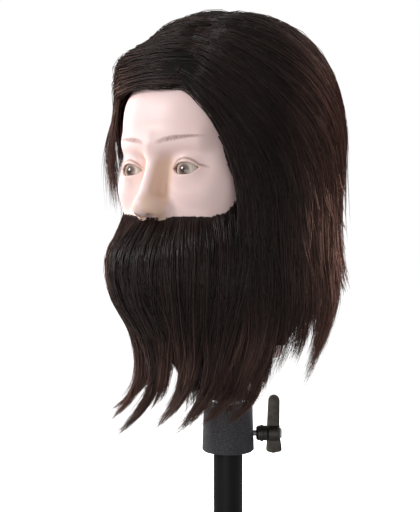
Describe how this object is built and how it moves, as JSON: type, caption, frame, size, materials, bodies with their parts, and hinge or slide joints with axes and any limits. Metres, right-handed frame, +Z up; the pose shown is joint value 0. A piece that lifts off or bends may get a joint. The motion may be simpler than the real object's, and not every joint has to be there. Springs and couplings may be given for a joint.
{
  "type": "mannequin training head",
  "caption": "Bearded practice head with long hair for cutting and styling, on a bench clamp holder with height lock, wing lever and swivel.",
  "frame": {"origin": "on the pole axis at the underside of the upper jaw pad, which is the table top", "axes": "+Z up along the pole, -Y the way the face looks, +X the mannequin's left side"},
  "size_m": [0.209, 0.2553, 0.724],
  "materials": {
    "frame_coat": "satin",
    "pole_coat": "satin",
    "collar_coat": "satin",
    "die_cast": "satin",
    "zinc": "satin",
    "chrome_tube": "polished",
    "brass": "satin",
    "nylon": "matte",
    "plug_plastic": "matte",
    "cap_plastic": "matte",
    "base_plastic": "matte",
    "pad_rubber": "matte",
    "skin": "satin",
    "foam": "matte",
    "eye": "gloss",
    "hair": "satin"
  },
  "bodies": {
    "stand": {"clamp_bracket": "frame_coat", "jaw_pad": "pad_rubber", "pole_flange": "frame_coat", "flange_bolts": "zinc", "outer_tube": "pole_coat", "guide_bush": "nylon", "lock_collar": "collar_coat", "collar_insert": "brass", "clamp_nut": "brass"},
    "riser": {"inner_tube": "chrome_tube", "tube_foot": "nylon", "swivel_stem": "zinc", "thrust_washer": "nylon", "retaining_washer": "zinc", "stem_screw": "zinc"},
    "plug": {"neck_plug": "plug_plastic", "plug_bush": "nylon"},
    "head": {"base_disc": "base_plastic", "disc_screws": "zinc", "neck_socket": "plug_plastic", "foam_core": "foam", "head_skin": "skin", "eye_left": "eye", "eye_right": "eye", "hair_top": "hair", "hair_left": "hair", "hair_right": "hair", "hair_back": "hair", "moustache": "hair", "beard_chin": "hair", "beard_left": "hair", "beard_right": "hair"},
    "lock": {"pressure_tip": "nylon"},
    "wing": {"lever_stud": "zinc", "wing_lever": "die_cast", "lever_cap": "zinc"},
    "pad": {"swivel_pad": "frame_coat", "pad_rubber": "pad_rubber"},
    "spindle": {"spindle": "zinc"},
    "tbar": {"t_bar": "zinc", "t_bar_caps": "cap_plastic"}
  },
  "joints": [
    {"name": "height_slide", "type": "slide", "parent": "stand", "child": "riser", "axis": [0, 0, 1], "range_m": [0, 0.08]},
    {"name": "head_turn", "type": "hinge", "parent": "riser", "child": "plug", "pos_m": [0, 0, 0.2], "axis": [0, 0, 1], "continuous": true},
    {"name": "head_lift", "type": "slide", "parent": "plug", "child": "head", "axis": [0, 0, 1], "range_m": [0, 0.11]},
    {"name": "wing_travel", "type": "slide", "parent": "stand", "child": "lock", "axis": [0.788, 0.6157, 0], "range_m": [0, 0.002]},
    {"name": "wing_turn", "type": "hinge", "parent": "lock", "child": "wing", "pos_m": [0.02364, 0.01847, 0.1665], "axis": [0.788, 0.6157, 0], "range_deg": [0, 721]},
    {"name": "pad_travel", "type": "slide", "parent": "stand", "child": "pad", "axis": [0, 0, 1], "range_m": [-0.04, 0.02]},
    {"name": "spindle_turn", "type": "hinge", "parent": "pad", "child": "spindle", "pos_m": [0, 0, -0.045], "axis": [0, 0, 1], "range_deg": [-4801, 2401]},
    {"name": "tbar_slide", "type": "slide", "parent": "spindle", "child": "tbar", "axis": [1, 0, 0], "range_m": [-0.034, 0.034]}
  ],
  "couplings": [
    {"joint": "wing_turn", "follows": "wing_travel", "rad_per_m": 6283.2},
    {"joint": "spindle_turn", "follows": "pad_travel", "rad_per_m": 2094.4}
  ]
}
